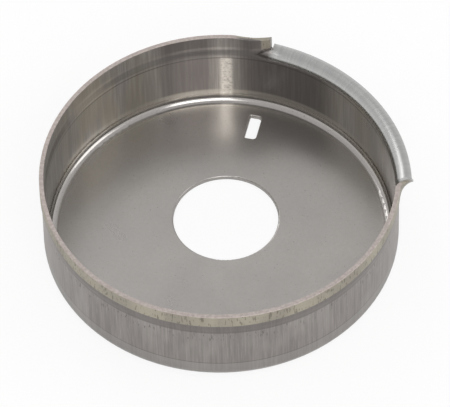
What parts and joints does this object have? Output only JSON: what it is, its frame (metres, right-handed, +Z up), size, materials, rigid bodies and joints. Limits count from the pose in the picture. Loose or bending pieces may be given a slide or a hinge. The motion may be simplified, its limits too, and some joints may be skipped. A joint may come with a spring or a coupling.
{
  "type": "deep drawn metal cup",
  "caption": "Shallow round cup drawn from one sheet of steel, with a bore and a radial slot in its floor, a stepped rim band, and part of the rim curled out into a lip.",
  "frame": {"origin": "centre of the bore, on the underside of the floor; the axis of the wall is at y = -6.5 mm", "axes": "+Z up through the floor, out of the open side; +Y from the bore towards the slot; the curled lip is on the +X +Y side"},
  "size_m": [0.1225, 0.1234, 0.0333],
  "materials": {
    "cup": "satin, with fine draw lines up the wall"
  },
  "bodies": {
    "root": {"cup": "cup"}
  },
  "joints": []
}
